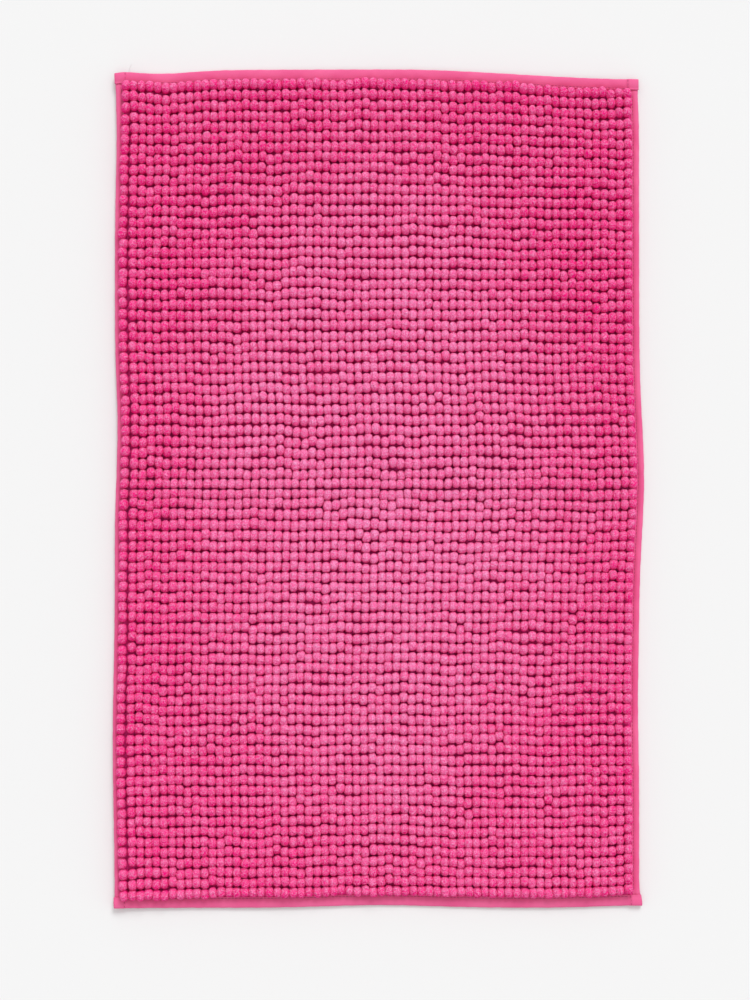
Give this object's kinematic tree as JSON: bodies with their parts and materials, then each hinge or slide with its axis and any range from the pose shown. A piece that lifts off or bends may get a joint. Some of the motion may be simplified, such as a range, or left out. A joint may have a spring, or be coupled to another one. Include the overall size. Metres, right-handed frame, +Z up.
{
  "type": "bath mat",
  "caption": "Rectangular bobble bath mat: rows of chenille loops on a backed base cloth with a bound edge, which folds once across the middle.",
  "frame": {"origin": "centre of the underside, on the surface that the mat lies on", "axes": "+Z up from the underside to the pile, X across the width, +Y along the length towards the rear half"},
  "size_m": [0.5, 0.8, 0.0141],
  "materials": {
    "base_cloth": "plain woven polyester cloth, dyed dark pink",
    "non_slip_coating": "matt off-white latex, slightly mottled",
    "binding_tape": "smooth woven tape, soft pink with a slight sheen",
    "sewing_thread": "twisted polyester thread, pink",
    "chenille_yarn": "microfibre chenille, fuzzy and matt, bright pink"
  },
  "bodies": {
    "front_half": {"base_cloth_front": "base_cloth", "chenille_yarns_front_01": "chenille_yarn", "chenille_yarns_front_02": "chenille_yarn", "chenille_yarns_front_03": "chenille_yarn", "chenille_yarns_front_04": "chenille_yarn", "chenille_yarns_front_05": "chenille_yarn", "chenille_yarns_front_06": "chenille_yarn", "chenille_yarns_front_07": "chenille_yarn", "chenille_yarns_front_08": "chenille_yarn", "chenille_yarns_front_09": "chenille_yarn", "chenille_yarns_front_10": "chenille_yarn", "chenille_yarns_front_11": "chenille_yarn", "chenille_yarns_front_12": "chenille_yarn", "chenille_yarns_front_13": "chenille_yarn", "chenille_yarns_front_14": "chenille_yarn", "chenille_yarns_front_15": "chenille_yarn", "chenille_yarns_front_16": "chenille_yarn", "corner_seam_left_front": "sewing_thread", "corner_seam_right_front": "sewing_thread", "end_seam_front": "sewing_thread", "end_tape_front": "binding_tape", "non_slip_coating_front": "non_slip_coating", "side_seam_left_front": "sewing_thread", "side_seam_right_front": "sewing_thread", "side_tape_left_front": "binding_tape", "side_tape_right_front": "binding_tape"},
    "rear_half": {"base_cloth_rear": "base_cloth", "chenille_yarns_rear_01": "chenille_yarn", "chenille_yarns_rear_02": "chenille_yarn", "chenille_yarns_rear_03": "chenille_yarn", "chenille_yarns_rear_04": "chenille_yarn", "chenille_yarns_rear_05": "chenille_yarn", "chenille_yarns_rear_06": "chenille_yarn", "chenille_yarns_rear_07": "chenille_yarn", "chenille_yarns_rear_08": "chenille_yarn", "chenille_yarns_rear_09": "chenille_yarn", "chenille_yarns_rear_10": "chenille_yarn", "chenille_yarns_rear_11": "chenille_yarn", "chenille_yarns_rear_12": "chenille_yarn", "chenille_yarns_rear_13": "chenille_yarn", "chenille_yarns_rear_14": "chenille_yarn", "chenille_yarns_rear_15": "chenille_yarn", "chenille_yarns_rear_16": "chenille_yarn", "corner_seam_left_rear": "sewing_thread", "corner_seam_right_rear": "sewing_thread", "end_seam_rear": "sewing_thread", "end_tape_rear": "binding_tape", "non_slip_coating_rear": "non_slip_coating", "side_seam_left_rear": "sewing_thread", "side_seam_right_rear": "sewing_thread", "side_tape_left_rear": "binding_tape", "side_tape_right_rear": "binding_tape"}
  },
  "joints": [
    {"name": "middle_fold", "type": "hinge", "parent": "front_half", "child": "rear_half", "pos_m": [0, 0, 0], "axis": [-1, 0, 0], "range_deg": [-8, 180]}
  ]
}
